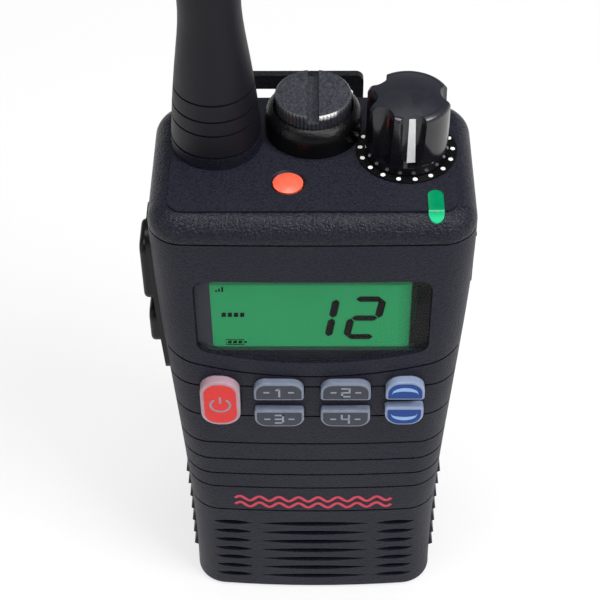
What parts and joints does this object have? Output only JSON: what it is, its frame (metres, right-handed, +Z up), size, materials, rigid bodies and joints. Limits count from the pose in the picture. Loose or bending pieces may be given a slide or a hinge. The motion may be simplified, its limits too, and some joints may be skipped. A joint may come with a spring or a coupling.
{
  "type": "handheld vhf marine radio",
  "caption": "Rugged handheld marine radio with a screw-on whip antenna, fluted volume knob, backlit display, keypad, slotted grille, push-to-talk key, removable battery and belt clip.",
  "frame": {"origin": "centre of the flat base", "axes": "+Z up along the body towards the antenna, -Y out of the front face, +X to the right of someone facing the front"},
  "size_m": [0.0652, 0.048, 0.2855],
  "materials": {
    "case_plastic": "fine moulded grain",
    "cover_plastic": "moulded grain, coarser on the shoulder",
    "battery_plastic": "fine moulded grain",
    "seal_rubber": "smooth",
    "dot_paint": "white filled print",
    "pointer_paint": "white strip",
    "light_lens": "tinted light pipe",
    "lens_clear": "clear window",
    "mask_print": "printed border",
    "display_glass": "backlit liquid crystal panel",
    "key_soft": "milky translucent, painted faces",
    "arrow_soft": "milky translucent, blue faces",
    "power_soft": "milky translucent, red face",
    "membrane_rubber": "smooth",
    "board_laminate": "green laminate",
    "cloth_weave": "fine weave",
    "speaker_steel": "stamped steel",
    "socket_plastic": "moulded",
    "contact_gold": "gold flashed",
    "cap_plastic": "satin, worn edges",
    "antenna_rubber": "moulded rubber",
    "plated_metal": "nickel plate",
    "radiator_metal": "drawn",
    "knob_plastic": "polished",
    "steel_plate": "stamped",
    "emergency_orange": "satin orange",
    "side_rubber": "moulded rubber",
    "frame_aluminium": "die cast",
    "screw_steel": "stainless",
    "cell_wrap": "shrink wrap",
    "latch_plastic": "moulded",
    "clip_plastic": "moulded nylon"
  },
  "bodies": {
    "radio": {"front_case": "case_plastic", "rear_case": "case_plastic", "case_screws": "screw_steel", "top_cover": "cover_plastic", "top_gasket": "seal_rubber", "index_dots": "dot_paint", "status_light": "light_lens", "display_lens": "lens_clear", "display_mask": "mask_print", "display_module": "display_glass", "keypad_membrane": "membrane_rubber", "keypad_board": "board_laminate", "speaker_cloth": "cloth_weave", "speaker": "speaker_steel", "microphone": "speaker_steel", "accessory_socket": "socket_plastic", "accessory_pins": "contact_gold", "antenna_socket": "plated_metal", "volume_potentiometer": "steel_plate", "knob_seal": "seal_rubber", "emergency_switch": "socket_plastic", "side_key_frame": "side_rubber", "side_switch_board": "board_laminate", "side_port_cover": "side_rubber", "main_board": "board_laminate", "shield_can": "steel_plate", "chassis_frame": "frame_aluminium", "top_board": "board_laminate", "bay_contacts": "contact_gold"},
    "antenna_ring": {"antenna_seal": "seal_rubber"},
    "antenna": {"antenna_sheath": "antenna_rubber", "antenna_radiator": "radiator_metal", "antenna_foot": "plated_metal"},
    "cap_ring": {"cap_seal": "seal_rubber"},
    "accessory_cap": {"accessory_cap": "cap_plastic"},
    "volume_knob": {"volume_knob": "knob_plastic", "knob_pointer": "pointer_paint", "knob_shaft": "plated_metal"},
    "emergency_button": {"emergency_button": "emergency_orange"},
    "ptt_button": {"ptt_button": "side_rubber"},
    "side_button": {"side_button": "side_rubber"},
    "power_key": {"power_key": "power_soft"},
    "function_key_1": {"function_key_1": "key_soft"},
    "function_key_2": {"function_key_2": "key_soft"},
    "function_key_3": {"function_key_3": "key_soft"},
    "function_key_4": {"function_key_4": "key_soft"},
    "up_key": {"up_key": "arrow_soft"},
    "down_key": {"down_key": "arrow_soft"},
    "battery": {"battery_shell": "battery_plastic", "battery_lid": "battery_plastic", "battery_contacts": "contact_gold", "battery_cells": "cell_wrap", "clip_bracket": "clip_plastic", "clip_screws": "screw_steel", "clip_pin": "steel_plate", "clip_spring": "steel_plate"},
    "belt_clip": {"belt_clip": "clip_plastic"},
    "battery_latch": {"battery_latch": "latch_plastic"}
  },
  "joints": [
    {"name": "antenna_lift", "type": "slide", "parent": "radio", "child": "antenna_ring", "axis": [0, 0, 1], "range_m": [0, 0.00625]},
    {"name": "antenna_turn", "type": "hinge", "parent": "antenna_ring", "child": "antenna", "pos_m": [-0.0184, 0.00475, 0.12], "axis": [0, 0, 1], "range_deg": [0, 1815]},
    {"name": "cap_lift", "type": "slide", "parent": "radio", "child": "cap_ring", "axis": [0, 0, 1], "range_m": [0, 0.007]},
    {"name": "cap_turn", "type": "hinge", "parent": "cap_ring", "child": "accessory_cap", "pos_m": [0.00016, 0.00854, 0.12], "axis": [0, 0, 1], "range_deg": [0, 1275]},
    {"name": "volume_turn", "type": "hinge", "parent": "radio", "child": "volume_knob", "pos_m": [0.01797, 0.00197, 0.12], "axis": [0, 0, 1], "range_deg": [-158, 146]},
    {"name": "emergency_press", "type": "slide", "parent": "radio", "child": "emergency_button", "axis": [0, 0, -1], "range_m": [0, 0.0012], "stiffness_N_per_m": 400, "springref_m": -0.0005},
    {"name": "ptt_press", "type": "slide", "parent": "radio", "child": "ptt_button", "axis": [1, 0, 0], "range_m": [0, 0.0015], "stiffness_N_per_m": 500, "springref_m": -0.001},
    {"name": "side_press", "type": "slide", "parent": "radio", "child": "side_button", "axis": [1, 0, 0], "range_m": [0, 0.001], "stiffness_N_per_m": 500, "springref_m": -0.001},
    {"name": "power_key_press", "type": "slide", "parent": "radio", "child": "power_key", "axis": [0, 1, 0], "range_m": [0, 0.0008], "stiffness_N_per_m": 400, "springref_m": -0.0005},
    {"name": "function_key_1_press", "type": "slide", "parent": "radio", "child": "function_key_1", "axis": [0, 1, 0], "range_m": [0, 0.0008], "stiffness_N_per_m": 400, "springref_m": -0.0005},
    {"name": "function_key_2_press", "type": "slide", "parent": "radio", "child": "function_key_2", "axis": [0, 1, 0], "range_m": [0, 0.0008], "stiffness_N_per_m": 400, "springref_m": -0.0005},
    {"name": "function_key_3_press", "type": "slide", "parent": "radio", "child": "function_key_3", "axis": [0, 1, 0], "range_m": [0, 0.0008], "stiffness_N_per_m": 400, "springref_m": -0.0005},
    {"name": "function_key_4_press", "type": "slide", "parent": "radio", "child": "function_key_4", "axis": [0, 1, 0], "range_m": [0, 0.0008], "stiffness_N_per_m": 400, "springref_m": -0.0005},
    {"name": "up_key_press", "type": "slide", "parent": "radio", "child": "up_key", "axis": [0, 1, 0], "range_m": [0, 0.0008], "stiffness_N_per_m": 400, "springref_m": -0.0005},
    {"name": "down_key_press", "type": "slide", "parent": "radio", "child": "down_key", "axis": [0, 1, 0], "range_m": [0, 0.0008], "stiffness_N_per_m": 400, "springref_m": -0.0005},
    {"name": "battery_off", "type": "slide", "parent": "radio", "child": "battery", "axis": [0, 1, 0], "range_m": [0, 0.025]},
    {"name": "clip_open", "type": "hinge", "parent": "battery", "child": "belt_clip", "pos_m": [-0.002, 0.0226, 0.092], "axis": [1, 0, 0], "range_deg": [0, 12], "stiffness_Nm_per_rad": 0.15, "springref_deg": -17.19, "deforming": ["clip_spring"]},
    {"name": "latch_slide", "type": "slide", "parent": "radio", "child": "battery_latch", "axis": [0, 0, 1], "range_m": [0, 0.002], "stiffness_N_per_m": 500, "springref_m": -0.001}
  ],
  "couplings": [
    {"joint": "antenna_turn", "follows": "antenna_lift", "rad_per_m": 5026.5},
    {"joint": "cap_turn", "follows": "cap_lift", "rad_per_m": 3141.6}
  ]
}
